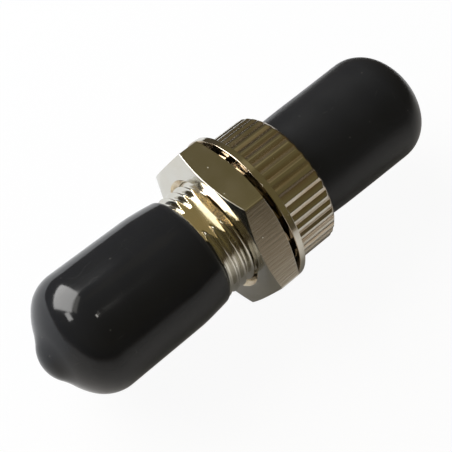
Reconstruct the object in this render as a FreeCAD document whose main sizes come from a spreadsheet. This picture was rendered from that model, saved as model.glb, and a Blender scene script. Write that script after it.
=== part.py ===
import FreeCAD, Part
import os
import re
import Sketcher

# Simplex fibre coupler with bayonet ends, made to sit in a D-shaped panel hole.
# Millimetres. The common axis is X, and the origin is the centre of the lip's front face, where the
# panel seats. The threaded half points to -X, the knurled half to +X, and the D-flat and keyways to +Z.

DRIVING_SIZES = {
    # threaded half
    "thread_diameter": 9.525,
    "thread_pitch": 0.794,
    "thread_height_ratio": 0.6134,
    "thread_length": 5.56,
    "flat_distance": 4.15,
    # bayonet barrels, the same on both halves
    "barrel_diameter": 7.0,
    "barrel_length": 7.7,
    "barrel_chamfer": 0.3,
    "socket_diameter": 5.0,
    "socket_depth": 6.5,
    "keyway_width": 1.3,
    "keyway_depth": 3.0,
    "lug_diameter": 1.4,
    "lug_span": 8.6,
    "lug_setback": 4.0,
    "lug_bevel": 0.25,
    "lug_recess": 0.05,
    # press joint between the two halves
    "spigot_diameter": 8.0,
    "spigot_length": 2.9,
    "spigot_end_gap": 0.1,
    # split sleeve that lines up the two ferrules
    "sleeve_bore": 2.5,
    "sleeve_wall": 0.35,
    "sleeve_slit": 0.5,
    "sleeve_side_gap": 0.05,
    "sleeve_end_gap": 0.1,
    "guide_wall": 0.65,
    "guide_gap": 0.22,
    # lip and straight knurl
    "lip_diameter": 13.9,
    "lip_thickness": 0.6,
    "lip_bevel": 0.12,
    "knurl_diameter": 12.16,
    "knurl_width": 4.37,
    "knurl_chamfer": 0.3,
    "knurl_teeth": 42,
    "groove_width": 0.52,
    "groove_floor": 0.36,
    "groove_depth": 0.26,
    # hex nut
    "nut_width": 13.3,
    "nut_thickness": 2.65,
    "nut_corner_drop": 0.42,
    "nut_countersink": 0.35,
    "nut_thread_gap": 0.05,
    "nut_turn": 25.0,
    # toothed lock washer, between the nut and the lip
    "washer_space": 0.42,
    "washer_thickness": 0.2,
    "washer_gap": 0.2,
    "washer_ring_diameter": 11.3,
    "washer_diameter": 12.6,
    "washer_teeth": 18,
    "washer_tooth_width": 0.9,
    "washer_twist": 8.0,
    # soft dust caps
    "front_cap_wall": 0.9,
    "rear_cap_wall": 0.51,
    "cap_gap": 0.1,
    "cap_rim_bevel": 0.35,
    "front_cap_knuckle": 3.35,
    "rear_cap_knuckle": 2.95,
    "cap_crown_extra": 1.08,
    "cap_end_angle": 65.0,
    "front_cap_room": 5.76,
    "rear_cap_room": 5.54,
    "drip_height": 0.66,
    "drip_radius": 2.8,
    "drip_blend": 4.15,
}

# Places along X and radii that follow from the driving sizes.
BARREL_RADIUS = "barrel_diameter / 2"
SOCKET_RADIUS = "socket_diameter / 2"
THREAD_RADIUS = "thread_diameter / 2"
SPIGOT_RADIUS = "spigot_diameter / 2"
SLEEVE_RADIUS = "(sleeve_bore / 2 + sleeve_wall)"
SEAT_RADIUS = f"({SLEEVE_RADIUS} + sleeve_side_gap)"
GUIDE_RADIUS = "(sleeve_bore / 2 + guide_gap)"
THREAD_DEPTH = "(thread_height_ratio * thread_pitch)"
THREAD_LEAD = f"({THREAD_DEPTH} / 2)"
FRONT_MOUTH = "(-thread_length - barrel_length)"
FRONT_FLOOR = f"({FRONT_MOUTH} + socket_depth)"
FRONT_SEAT = f"({FRONT_FLOOR} + guide_wall)"
KNURL_END = "(lip_thickness + knurl_width)"
KNURL_RADIUS = "knurl_diameter / 2"
LIP_RADIUS = "lip_diameter / 2"
LIP_BEVEL = f"min(lip_bevel; ({LIP_RADIUS} - {KNURL_RADIUS}) / 2)"
REAR_MOUTH = f"({KNURL_END} + barrel_length)"
REAR_FLOOR = f"({REAR_MOUTH} - socket_depth)"
REAR_SEAT = f"({REAR_FLOOR} - guide_wall)"
NUT_CORNER = "(nut_width / sqrt(3))"
CAP_BORE = "(lug_span / 2 + cap_gap)"
# How far a cut runs past the solid that it cuts.
OVERCUT = "1"

doc = FreeCAD.newDocument("fibre_coupler")
sheet = doc.addObject("Spreadsheet::Sheet", "Sizes")


def fill_sheet():
    """Writes every driving size into the sheet under its own alias."""
    for row, (alias, number) in enumerate(DRIVING_SIZES.items(), start=1):
        sheet.set(f"A{row}", alias)
        sheet.set(f"B{row}", str(number))
        sheet.setAlias(f"B{row}", alias)
    doc.recompute()


def bound(expression):
    """The expression as another object writes it, with each size read from the sheet."""
    return re.sub(r"[a-z_]+", lambda m: f"Sizes.{m[0]}" if m[0] in DRIVING_SIZES else m[0], expression)


def number(expression):
    """The expression's present value."""
    return float(sheet.evalExpression(bound(expression)))


def new_body(label, place=None, turn_axis=None, turn=None):
    """An empty body, moved along X by an expression and turned about one axis by another."""
    body = doc.addObject("PartDesign::Body", label)
    body.Label = label
    if turn_axis:
        body.Placement.Rotation = FreeCAD.Rotation(turn_axis, number(turn))
        body.setExpression("Placement.Rotation.Angle", f"({bound(turn)}) * 1 deg")
    if place:
        body.setExpression("Placement.Base.x", bound(place))
    return body


def new_sketch(body, name, role, offset=None, turn=None):
    """A sketch on one of the body's origin planes, moved along the plane's normal and turned about it."""
    sketch = body.newObject("Sketcher::SketchObject", name)
    plane = next(item for item in body.Origin.OriginFeatures if item.Role == role)
    sketch.AttachmentSupport = [(plane, "")]
    sketch.MapMode = "FlatFace"
    if turn:
        sketch.AttachmentOffset = FreeCAD.Placement(
            FreeCAD.Vector(), FreeCAD.Rotation(FreeCAD.Vector(0, 0, 1), number(turn))
        )
        sketch.setExpression("AttachmentOffset.Rotation.Angle", f"({bound(turn)}) * 1 deg")
    if offset:
        sketch.setExpression("AttachmentOffset.Base.z", bound(offset))
    return sketch


def dimension(sketch, kind, expression, *where):
    """A dimension constraint whose value follows the sheet."""
    index = sketch.addConstraint(Sketcher.Constraint(kind, *where, number(expression)))
    sketch.setExpression(f"Constraints[{index}]", bound(expression))


def pin_point(sketch, item, end, x, y):
    """Holds one end of a sketch line or the centre of a circle at two expressions."""
    dimension(sketch, "DistanceX", x, item, end)
    dimension(sketch, "DistanceY", y, item, end)


def outline(sketch, corners):
    """A closed outline of straight lines, with every corner held by expressions."""
    points = [FreeCAD.Vector(number(x), number(y), 0) for x, y in corners]
    first = sketch.GeometryCount
    for start, end in zip(points, points[1:] + points[:1]):
        sketch.addGeometry(Part.LineSegment(start, end))
    for step, (x, y) in enumerate(corners):
        follower = first + (step + 1) % len(corners)
        sketch.addConstraint(Sketcher.Constraint("Coincident", first + step, 2, follower, 1))
        pin_point(sketch, first + step, 1, x, y)


def box_outline(sketch, low_x, high_x, low_y, high_y):
    """A rectangle between two pairs of expressions."""
    outline(sketch, [(low_x, low_y), (high_x, low_y), (high_x, high_y), (low_x, high_y)])


def circle(sketch, x, y, radius):
    """A circle with its centre and radius held by expressions."""
    centre = FreeCAD.Vector(number(x), number(y), 0)
    item = sketch.addGeometry(Part.Circle(centre, FreeCAD.Vector(0, 0, 1), number(radius)))
    pin_point(sketch, item, 3, x, y)
    dimension(sketch, "Radius", radius, item)


def spun(body, kind, name, sketch):
    """A full turn of the sketch about its own X axis: Revolution adds, Groove takes away."""
    feature = body.newObject(f"PartDesign::{kind}", name)
    feature.Profile = sketch
    feature.ReferenceAxis = (sketch, ["H_Axis"])
    feature.Angle = 360
    doc.recompute()
    return feature


def pushed(body, kind, name, sketch, length, midplane=False):
    """A straight Pad along the sketch's normal, or a Pocket against it."""
    feature = body.newObject(f"PartDesign::{kind}", name)
    feature.Profile = sketch
    feature.setExpression("Length", bound(length))
    if midplane:
        feature.SideType = "Symmetric"
    doc.recompute()
    return feature


def patterned(body, name, feature, sketch, count):
    """Copies a feature evenly round the sketch's normal and makes that the body's result."""
    pattern = body.newObject("PartDesign::PolarPattern", name)
    pattern.Originals = [feature]
    pattern.Axis = (sketch, ["N_Axis"])
    pattern.Angle = 360
    pattern.setExpression("Occurrences", bound(count))
    body.Tip = pattern
    doc.recompute()
    return pattern


def cut_keyway_and_lug_holes(body, mouth, inward):
    """Keyway at +Z in a barrel's mouth, and a hole through both side walls for the lugs.

    inward is +1 where the barrel runs from its mouth to +X, and -1 where it runs to -X.
    """
    keyway = new_sketch(body, f"{body.Name}_keyway_outline", "XZ_Plane")
    ends = [f"({mouth} + {inward} * keyway_depth)", f"({mouth} - {inward} * {OVERCUT})"]
    box_outline(keyway, *ends[::inward * -1], "0", f"{BARREL_RADIUS} + {OVERCUT}")
    pushed(body, "Pocket", f"{body.Name}_keyway", keyway, "keyway_width", midplane=True)
    holes = new_sketch(body, f"{body.Name}_lug_hole_outline", "XZ_Plane")
    circle(holes, f"({mouth} + {inward} * lug_setback)", "0", "lug_diameter / 2")
    pushed(body, "Pocket", f"{body.Name}_lug_holes", holes, f"barrel_diameter + {OVERCUT}", midplane=True)


def threaded_housing():
    """Front half: bayonet barrel, threaded shank with a D-flat, and the spigot for the press joint."""
    body = new_body("threaded_housing")
    profile = new_sketch(body, "threaded_profile", "XY_Plane")
    outline(profile, [
        (f"{FRONT_MOUTH} + barrel_chamfer", SOCKET_RADIUS),
        (FRONT_MOUTH, f"{SOCKET_RADIUS} + barrel_chamfer"),
        (FRONT_MOUTH, f"{BARREL_RADIUS} - barrel_chamfer"),
        (f"{FRONT_MOUTH} + barrel_chamfer", BARREL_RADIUS),
        ("-thread_length", BARREL_RADIUS),
        ("-thread_length", f"{THREAD_RADIUS} - {THREAD_LEAD}"),
        (f"-thread_length + {THREAD_LEAD}", THREAD_RADIUS),
        ("0", THREAD_RADIUS),
        ("0", SPIGOT_RADIUS),
        ("spigot_length", SPIGOT_RADIUS),
        ("spigot_length", SEAT_RADIUS),
        (FRONT_SEAT, SEAT_RADIUS),
        (FRONT_SEAT, GUIDE_RADIUS),
        (FRONT_FLOOR, GUIDE_RADIUS),
        (FRONT_FLOOR, SOCKET_RADIUS),
    ])
    spun(body, "Revolution", "threaded_turning", profile)
    flat = new_sketch(body, "flat_outline", "XZ_Plane")
    box_outline(flat, "-thread_length", "0", "flat_distance", f"{THREAD_RADIUS} + {OVERCUT}")
    pushed(body, "Pocket", "d_flat", flat, f"thread_diameter + {OVERCUT}", midplane=True)
    cut_keyway_and_lug_holes(body, FRONT_MOUTH, 1)
    return body


def knurled_flange_housing():
    """Rear half: lip that stops at the panel, straight-knurled grip and the second bayonet barrel."""
    body = new_body("knurled_flange_housing")
    profile = new_sketch(body, "flange_profile", "XY_Plane")
    outline(profile, [
        ("0", SPIGOT_RADIUS),
        ("0", f"{LIP_RADIUS} - {LIP_BEVEL}"),
        (LIP_BEVEL, LIP_RADIUS),
        (f"lip_thickness - {LIP_BEVEL}", LIP_RADIUS),
        ("lip_thickness", f"{LIP_RADIUS} - {LIP_BEVEL}"),
        ("lip_thickness", KNURL_RADIUS),
        (f"{KNURL_END} - knurl_chamfer", KNURL_RADIUS),
        (KNURL_END, f"{KNURL_RADIUS} - knurl_chamfer"),
        (KNURL_END, BARREL_RADIUS),
        (f"{REAR_MOUTH} - barrel_chamfer", BARREL_RADIUS),
        (REAR_MOUTH, f"{BARREL_RADIUS} - barrel_chamfer"),
        (REAR_MOUTH, f"{SOCKET_RADIUS} + barrel_chamfer"),
        (f"{REAR_MOUTH} - barrel_chamfer", SOCKET_RADIUS),
        (REAR_FLOOR, SOCKET_RADIUS),
        (REAR_FLOOR, GUIDE_RADIUS),
        (REAR_SEAT, GUIDE_RADIUS),
        (REAR_SEAT, SEAT_RADIUS),
        ("spigot_length + spigot_end_gap", SEAT_RADIUS),
        ("spigot_length + spigot_end_gap", SPIGOT_RADIUS),
    ])
    spun(body, "Revolution", "flange_turning", profile)
    cut_keyway_and_lug_holes(body, REAR_MOUTH, -1)
    groove = new_sketch(body, "groove_outline", "YZ_Plane", offset=KNURL_END)
    rise = f"({OVERCUT} + groove_depth) / groove_depth"
    mouth_half = f"(groove_floor + (groove_width - groove_floor) * {rise}) / 2"
    outline(groove, [
        ("-groove_floor / 2", f"{KNURL_RADIUS} - groove_depth"),
        ("groove_floor / 2", f"{KNURL_RADIUS} - groove_depth"),
        (mouth_half, f"{KNURL_RADIUS} + {OVERCUT}"),
        (f"-{mouth_half}", f"{KNURL_RADIUS} + {OVERCUT}"),
    ])
    cut = pushed(body, "Pocket", "knurl_groove", groove, "knurl_width")
    patterned(body, "knurl", cut, groove, "knurl_teeth")
    return body


def lug(label, mouth, inward, side):
    """One bayonet lug: a pin pressed into the barrel's side wall, with its head's edge broken."""
    body = new_body(label, place=f"{mouth} + {inward} * lug_setback")
    body.Placement.Rotation = FreeCAD.Rotation(FreeCAD.Vector(0, 0, 1), 90 * side)
    profile = new_sketch(body, f"{label}_profile", "XY_Plane")
    outline(profile, [
        (f"{SOCKET_RADIUS} + lug_recess", "0"),
        (f"{SOCKET_RADIUS} + lug_recess", "lug_diameter / 2"),
        ("lug_span / 2 - lug_bevel", "lug_diameter / 2"),
        ("lug_span / 2", "lug_diameter / 2 - lug_bevel"),
        ("lug_span / 2", "0"),
    ])
    spun(body, "Revolution", f"{label}_turning", profile)
    return body


def alignment_sleeve():
    """Split tube, loose in its seat between the two halves, that grips both ferrules."""
    body = new_body("alignment_sleeve", place=f"{FRONT_SEAT} + sleeve_end_gap")
    ring = new_sketch(body, "sleeve_ring", "YZ_Plane")
    circle(ring, "0", "0", SLEEVE_RADIUS)
    circle(ring, "0", "0", "sleeve_bore / 2")
    length = f"{REAR_SEAT} - {FRONT_SEAT} - 2 * sleeve_end_gap"
    pushed(body, "Pad", "sleeve_tube", ring, length)
    slit = new_sketch(body, "slit_outline", "XZ_Plane")
    box_outline(slit, f"-{OVERCUT}", f"{length} + {OVERCUT}", "0", f"{SLEEVE_RADIUS} + {OVERCUT}")
    pushed(body, "Pocket", "sleeve_slit_cut", slit, "sleeve_slit", midplane=True)
    return body


def hex_nut():
    """Panel nut with both faces turned to a cone, so the corners fall away in curved edges."""
    body = new_body("hex_nut", place="-washer_space - nut_thickness",
                    turn_axis=FreeCAD.Vector(1, 0, 0), turn="nut_turn")
    hexagon = new_sketch(body, "hexagon", "YZ_Plane")
    half = "nut_width / 2"
    outline(hexagon, [
        ("0", NUT_CORNER),
        (f"-{half}", f"{NUT_CORNER} / 2"),
        (f"-{half}", f"-{NUT_CORNER} / 2"),
        ("0", f"-{NUT_CORNER}"),
        (half, f"-{NUT_CORNER} / 2"),
        (half, f"{NUT_CORNER} / 2"),
    ])
    bore = f"({THREAD_RADIUS} + nut_thread_gap)"
    circle(hexagon, "0", "0", bore)
    pushed(body, "Pad", "nut_blank", hexagon, "nut_thickness")
    faces = new_sketch(body, "face_cuts", "XY_Plane")
    slope = f"nut_corner_drop / ({NUT_CORNER} - {half})"
    reach = f"({NUT_CORNER} + {OVERCUT})"
    run = f"({reach} - {half}) * {slope}"
    for face, inward in (("0", "+"), ("nut_thickness", "-")):
        outline(faces, [(face, half), (face, reach), (f"{face} {inward} {run}", reach)])
        outline(faces, [
            (face, f"{bore} - nut_countersink"),
            (face, f"{bore} + nut_countersink"),
            (f"{face} {inward} 2 * nut_countersink", f"{bore} - nut_countersink"),
        ])
    spun(body, "Groove", "face_cones", faces)
    return body


def lock_washer():
    """Spring washer with outward teeth, each one twisted so that its two edges bite."""
    body = new_body("lock_washer", place="-washer_space / 2")
    ring = new_sketch(body, "washer_ring", "YZ_Plane")
    circle(ring, "0", "0", "washer_ring_diameter / 2")
    circle(ring, "0", "0", f"{THREAD_RADIUS} + washer_gap")
    pushed(body, "Pad", "washer_disc", ring, "washer_thickness", midplane=True)
    root_place = f"({THREAD_RADIUS} + washer_gap + washer_ring_diameter / 2) / 2"
    section = new_sketch(body, "tooth_section", "XY_Plane", offset=root_place, turn="washer_twist")
    half_width = "washer_tooth_width / 2"
    half_thickness = "washer_thickness / 2"
    box_outline(section, f"-{half_thickness}", half_thickness, f"-{half_width}", half_width)
    tooth = pushed(body, "Pad", "twisted_tooth", section, f"washer_diameter / 2 - {root_place}")
    patterned(body, "washer_crown", tooth, ring, "washer_teeth")
    return body


def dust_cap(label, place, turn, end, drip):
    """Dipped soft cap: round wall, knuckle and crown arcs, and with drip a nose left by the dipping.

    end, front or rear, picks the cap's own wall, knuckle and room from the sizes. The rim is at the
    cap's own X = 0 and the closed end points to its +X. Inside, the bore narrows to a flat floor, on
    a line between two points that keep the wall's thickness from the knuckle.
    """
    body = new_body(label, place=place)
    body.Placement.Rotation = FreeCAD.Rotation(FreeCAD.Vector(0, 0, 1), turn)
    wall = f"{end}_cap_wall"
    knuckle = f"{end}_cap_knuckle"
    side_radius = f"({CAP_BORE} + {wall})"
    crown = f"({side_radius} + cap_crown_extra)"
    crown_tip = f"(barrel_length + {end}_cap_room + {wall})"
    crown_centre = f"({crown_tip} - {crown})"
    knuckle_rise = f"({side_radius} - {knuckle})"
    knuckle_centre = f"({crown_centre} + sqrt(({crown} - {knuckle})^2 - {knuckle_rise}^2))"
    inner_knuckle = f"({knuckle} - {wall})"
    floor = f"({knuckle_centre} + {inner_knuckle} * sin(cap_end_angle))"
    floor_radius = f"({knuckle_rise} + {inner_knuckle} * cos(cap_end_angle))"
    profile = new_sketch(body, f"{label}_profile", "XY_Plane")
    normal = FreeCAD.Vector(0, 0, 1)

    def spot(x, y):
        return FreeCAD.Vector(x, y, 0)

    def arc(centre, start, end):
        """The counter-clockwise arc from start to end about centre."""
        radius = centre.distanceToPoint(start)
        begin = (start - centre).getAngle(spot(1, 0)) * (1 if start.y >= centre.y else -1)
        finish = (end - centre).getAngle(spot(1, 0)) * (1 if end.y >= centre.y else -1)
        return profile.addGeometry(Part.ArcOfCircle(Part.Circle(centre, normal, radius), begin, finish))

    def towards(centre, target, distance):
        """The point at a distance from centre in the direction of target."""
        return centre + (target - centre).normalize() * distance

    def tie(kind, *where):
        profile.addConstraint(Sketcher.Constraint(kind, *where))

    crown_radius = number(crown)
    crown_spot = spot(number(crown_centre), 0)
    knuckle_spot = spot(number(knuckle_centre), number(knuckle_rise))
    crown_end = towards(crown_spot, knuckle_spot, crown_radius)
    knuckle_end = spot(knuckle_spot.x, number(side_radius))
    knuckle_arc = arc(knuckle_spot, crown_end, knuckle_end)
    if drip:
        tip = f"({crown_tip} + drip_height)"
        drip_centre = f"({tip} - drip_radius)"
        drip_spot = spot(number(drip_centre), 0)
        reach_crown = crown_radius + number("drip_blend")
        reach_drip = number("drip_radius + drip_blend")
        apart = drip_spot.x - crown_spot.x
        along = (reach_crown**2 - reach_drip**2 + apart**2) / (2 * apart)
        blend_spot = spot(crown_spot.x + along, (reach_crown**2 - along**2) ** 0.5)
        blend_start = towards(crown_spot, blend_spot, crown_radius)
        blend_end = towards(drip_spot, blend_spot, number("drip_radius"))
        crown_arc = arc(crown_spot, blend_start, crown_end)
        blend_arc = arc(blend_spot, blend_start, blend_end)
        last_arc = arc(drip_spot, spot(number(tip), 0), blend_end)
    else:
        tip = crown_tip
        crown_arc = arc(crown_spot, spot(number(tip), 0), crown_end)
        last_arc = crown_arc
    corners = [
        (tip, "0"),
        (floor, "0"),
        (floor, floor_radius),
        (knuckle_centre, CAP_BORE),
        ("0", CAP_BORE),
        ("0", f"{side_radius} - cap_rim_bevel"),
        ("cap_rim_bevel", side_radius),
        (knuckle_centre, side_radius),
    ]
    points = [spot(number(x), number(y)) for x, y in corners]
    lines = [profile.addGeometry(Part.LineSegment(*pair)) for pair in zip(points, points[1:])]
    for before, after in zip(lines, lines[1:]):
        tie("Coincident", before, 2, after, 1)
    tie("Coincident", last_arc, 1, lines[0], 1)
    tie("Tangent", lines[-1], 2, knuckle_arc, 2)
    tie("Tangent", knuckle_arc, 1, crown_arc, 2)
    tie("Horizontal", lines[-1])
    dimension(profile, "DistanceY", "0", lines[0], 1)
    for item, (x, y) in zip(lines[1:], corners[1:]):
        pin_point(profile, item, 1, x, y)
    pin_point(profile, crown_arc, 3, crown_centre, "0")
    dimension(profile, "Radius", crown, crown_arc)
    dimension(profile, "Radius", knuckle, knuckle_arc)
    if drip:
        tie("Tangent", crown_arc, 1, blend_arc, 1)
        tie("Tangent", blend_arc, 2, last_arc, 2)
        pin_point(profile, last_arc, 3, drip_centre, "0")
        dimension(profile, "Radius", "drip_radius", last_arc)
        dimension(profile, "Radius", "drip_blend", blend_arc)
    spun(body, "Revolution", f"{label}_moulding", profile)
    return body


def check_and_write(bodies):
    """Stops on any failed object, cut that took nothing away or bad solid, then writes the parts."""
    for item in doc.Objects:
        if {"Invalid", "Error"} & set(item.State):
            raise RuntimeError(f"{item.Label} failed: {item.State}")
        if item.TypeId in ("PartDesign::Pocket", "PartDesign::Groove"):
            if not item.Shape.Volume < item.BaseFeature.Shape.Volume - 1e-3:
                raise RuntimeError(f"{item.Label} cut nothing")
    for body in bodies:
        shape = body.Shape
        if shape.isNull() or not shape.isValid() or len(shape.Solids) != 1:
            raise RuntimeError(f"{body.Label} is not one valid solid")
    os.makedirs("parts", exist_ok=True)
    for body in bodies:
        body.Shape.exportStep(f"parts/{body.Label}.step")
        box = body.Shape.BoundBox
        print(f"{body.Label}: x {box.XMin:.2f} to {box.XMax:.2f}, volume {body.Shape.Volume:.2f}")


fill_sheet()
parts = [
    threaded_housing(),
    knurled_flange_housing(),
    alignment_sleeve(),
    lock_washer(),
    hex_nut(),
    dust_cap("front_dust_cap", "-thread_length", 180, "front", drip=True),
    dust_cap("rear_dust_cap", KNURL_END, 0, "rear", drip=False),
]
for end_name, end_mouth, end_inward in (("front", FRONT_MOUTH, 1), ("rear", REAR_MOUTH, -1)):
    for side_name, side_sign in (("left", 1), ("right", -1)):
        parts.append(lug(f"{end_name}_{side_name}_lug", end_mouth, end_inward, side_sign))
doc.recompute()
check_and_write(parts)
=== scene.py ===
import math

import bmesh
import bpy
import numpy as np
from mathutils import Matrix, Vector


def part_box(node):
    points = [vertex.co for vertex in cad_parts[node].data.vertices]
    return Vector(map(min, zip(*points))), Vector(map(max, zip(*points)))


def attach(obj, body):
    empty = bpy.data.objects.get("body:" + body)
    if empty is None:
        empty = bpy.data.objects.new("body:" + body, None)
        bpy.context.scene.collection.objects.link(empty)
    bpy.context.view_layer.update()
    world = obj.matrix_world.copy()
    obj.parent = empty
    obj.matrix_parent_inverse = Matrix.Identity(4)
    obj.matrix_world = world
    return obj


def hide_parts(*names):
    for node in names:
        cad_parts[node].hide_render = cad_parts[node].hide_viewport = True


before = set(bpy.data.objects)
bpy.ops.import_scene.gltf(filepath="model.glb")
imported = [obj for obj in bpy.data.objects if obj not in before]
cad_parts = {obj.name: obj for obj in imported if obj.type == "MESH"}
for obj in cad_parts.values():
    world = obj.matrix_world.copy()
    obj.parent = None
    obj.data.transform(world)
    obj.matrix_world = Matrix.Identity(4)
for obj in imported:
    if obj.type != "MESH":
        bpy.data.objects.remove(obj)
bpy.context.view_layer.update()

# The coupler lies along X: threaded half towards -X, knurled half towards +X, the D-flat on top.
# Angles round the axis are counted from +Z towards -Y, which is a right-hand turn about +X.
MM = 0.001
FULL_TURN = 2 * math.pi

# Ends along X, read from the solids
shank_low, shank_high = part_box("threaded_housing")
flange_low, flange_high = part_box("knurled_flange_housing")
nut_low, nut_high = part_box("hex_nut")
washer_low, washer_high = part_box("lock_washer")
sleeve_low, sleeve_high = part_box("alignment_sleeve")
front_cap_low, front_cap_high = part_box("front_dust_cap")
rear_cap_low, rear_cap_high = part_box("rear_dust_cap")

# Both barrels, with their sockets and keyways
BARREL_RADIUS = 3.5 * MM
SOCKET_RADIUS = 2.5 * MM
SOCKET_DEPTH = 6.5 * MM
GUIDE_RADIUS = 1.47 * MM
GUIDE_WALL = 0.65 * MM
SEAT_RADIUS = 1.65 * MM
MOUTH_ROUND = 0.3 * MM
GUIDE_SEAT_ROUND = 0.04 * MM
GUIDE_FLOOR_ROUND = 0.08 * MM
KEYWAY_WIDTH = 1.3 * MM
KEYWAY_DEPTH = 3.0 * MM
KEYWAY_EDGE = math.radians(12)
KEYWAY_SPREAD = math.radians(60)
KEYWAY_LARGEST_SINE = 0.9
SPIGOT_RADIUS = 4.0 * MM
SPIGOT_ROUND = 0.1 * MM
SPIGOT_PLAY = 0.1 * MM

# Thread and D-flat
THREAD_RADIUS = 4.7625 * MM
THREAD_ROOT = 4.275 * MM
THREAD_PITCH = 0.794 * MM
CREST_EDGE = 1 / 16
ROOT_EDGE = 3 / 8
ROWS_PER_PITCH = 18
LAST_STATION = 0.99 * THREAD_PITCH
THREAD_FRONT = front_cap_high.x
THREAD_LEAD = 0.24 * MM
FLAT_HEIGHT = 4.15 * MM
FLAT_EDGE_ROUND = 0.005 * MM
FLAT_LEAST_COSINE = 0.3
FLAT_TINT_START = FLAT_HEIGHT - 0.06 * MM
FLAT_TINT_FULL = FLAT_HEIGHT - 0.01 * MM
BEYOND_FLAT = math.radians(36)
KEYWAY_COLUMNS, FLAT_COLUMNS, ROUND_COLUMNS = 12, 96, 89

# Lip and knurl
LIP_RADIUS = 6.95 * MM
LIP_THICKNESS = 0.6 * MM
LIP_ROUND = 0.06 * MM
LIP_FOOT = 0.05 * MM
# Depth of the lip's front face that takes the full dark tint: painted shade that dims its reflection
LIP_FRONT_TINT = 0.8 * LIP_ROUND
# Reach of the darker tint in the corner behind the lip
LIP_CORNER_DARKENING_REACH = 0.3 * MM
KNURL_RADIUS = 6.08 * MM
KNURL_REAR = rear_cap_low.x
KNURL_CHAMFER = 0.3 * MM
KNURL_TEETH = 42
GROOVE_DEPTH = 0.135 * MM
GROOVE_FLOOR_SHARE = 0.03
GROOVE_MOUTH_SHARE = 0.39
GROOVE_FADE_START = LIP_THICKNESS + 0.02 * MM
GROOVE_FADE_END = LIP_THICKNESS + 0.14 * MM
RIDGE_FIRMNESS = 16.0
KNURL_EDGE_ROUND = 0.02 * MM
# Rows of the knurl: close ones behind the lip and before the rear edge, wide ones between
LIP_ROWS, BETWEEN_ROWS, REAR_ROWS = 9, 6, 9
LIP_ROWS_END, BETWEEN_START = 0.6 * MM, 0.8 * MM
BETWEEN_END, REAR_ROWS_START = 0.42 * MM, 0.34 * MM
# Shares of a pitch, from a groove's centre, where the knurl has columns
GROOVE_COLUMNS = np.array([0, 0.015, 0.03, 0.06, 0.13, 0.21, 0.29, 0.35, 0.37, 0.39, 0.42])

# Hex nut
NUT_FLAT_RADIUS = 6.65 * MM
NUT_CORNER_ANGLE = math.radians(25.0)
NUT_CORNER_DROP = 0.42 * MM
NUT_FACE_RADIUS = 6.61 * MM
NUT_BORE = 4.8125 * MM
NUT_COUNTERSINK = 0.45 * MM
NUT_SINK_ROUND = 0.02 * MM
NUT_EDGE = 0.016 * MM
NUT_CORNER_ROUND = 0.02 * MM
# Degrees from a corner where the nut has columns
NUT_COLUMNS = np.concatenate([[0, 0.3, 0.7, 1.3, 2.2, 3.4], np.linspace(5, 30, 12)])

# Lock washer
WASHER_BORE = 4.9625 * MM
WASHER_RING = 5.65 * MM
WASHER_TIP = 6.3 * MM
WASHER_THICKNESS = 0.2 * MM
WASHER_TEETH = 18
WASHER_TOOTH_WIDTH = 0.9 * MM
WASHER_TWIST = math.radians(8.0)
WASHER_TWIST_START = WASHER_RING - 0.15 * MM
WASHER_TWIST_FULL = WASHER_TIP - 0.2 * MM
# Radius where the washer's dark tint, grime and painted shade of the gap between nut and lip, fades out
WASHER_GRIME_AND_SHADE_END = WASHER_TIP - 0.1 * MM
# Columns on a tooth and beside it, in half widths of a tooth from its middle
TOOTH_COLUMNS = np.array([-0.98, -0.8, -0.4, 0, 0.4, 0.8, 0.98])
GAP_COLUMNS = np.array([1.02, 1.25])
# Rows from the bore, at 0, over the ring's edge, at 1, to the tip, at 2
WASHER_ROWS = np.array([0, 0.05, 0.5, 0.92, 1, 1.15, 1.4, 1.7, 1.93, 2.0])
# Share of the thickness at some of those rows, thinner at bore and tip
WASHER_EASED_ROWS = [0, 0.05, 1.93, 2]
WASHER_EASED_SHARE = [0.7, 1, 1, 0.85]

# Sleeve and lugs
SLEEVE_OUTER = 1.6 * MM
SLEEVE_INNER = 1.25 * MM
SLEEVE_SLIT = 0.5 * MM
SLEEVE_INNER_ROUND = 0.1 * MM
SLEEVE_OUTER_ROUND = 0.06 * MM
SLEEVE_COLUMNS = 73
SLEEVE_INNER_DARKENING = 0.3
LUG_RADIUS = 0.7 * MM
LUG_ROUND = 0.22 * MM
LUG_FOOT_ROUND = 0.05 * MM
LUG_COLUMNS = 48
LUG_FOOT_DARKENING = 0.5
LUG_FOOT_DARKENING_REACH = 0.2 * MM

# Dust caps: distances are counted from the rim towards the closed end
CAP_BORE = 4.4 * MM
FRONT_CAP_WALL = 0.9 * MM
REAR_CAP_WALL = 0.51 * MM
FRONT_CAP_KNUCKLE = 3.35 * MM
REAR_CAP_KNUCKLE = 2.95 * MM
CAP_CROWN_EXTRA = 1.08 * MM
CAP_RIM_ROUND = 0.3 * MM
CAP_RIM_ROWS_END = 0.6 * MM
CAP_RIM_GRIME = 0.5 * MM
CAP_FLARE = 0.02
CAP_FLARE_END = 0.7
CAP_FLARE_MIDDLE = 0.6
FRONT_RIM_DRAW = 0.33 * MM
REAR_RIM_DRAW = 0.1 * MM
CAP_RIM_REACH = 3.0 * MM
CAP_RIM_CURVE = 1.5
CAP_WAVE_HEIGHT = 0.010 * MM
CAP_WAVE_LEVEL = 1.2
CAP_CALM_RADIUS = 2.5 * MM
CAP_CALM_RIM, CAP_CALM_END = 0.2 * MM, 2 * MM
CAP_CREASE = 60
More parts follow.
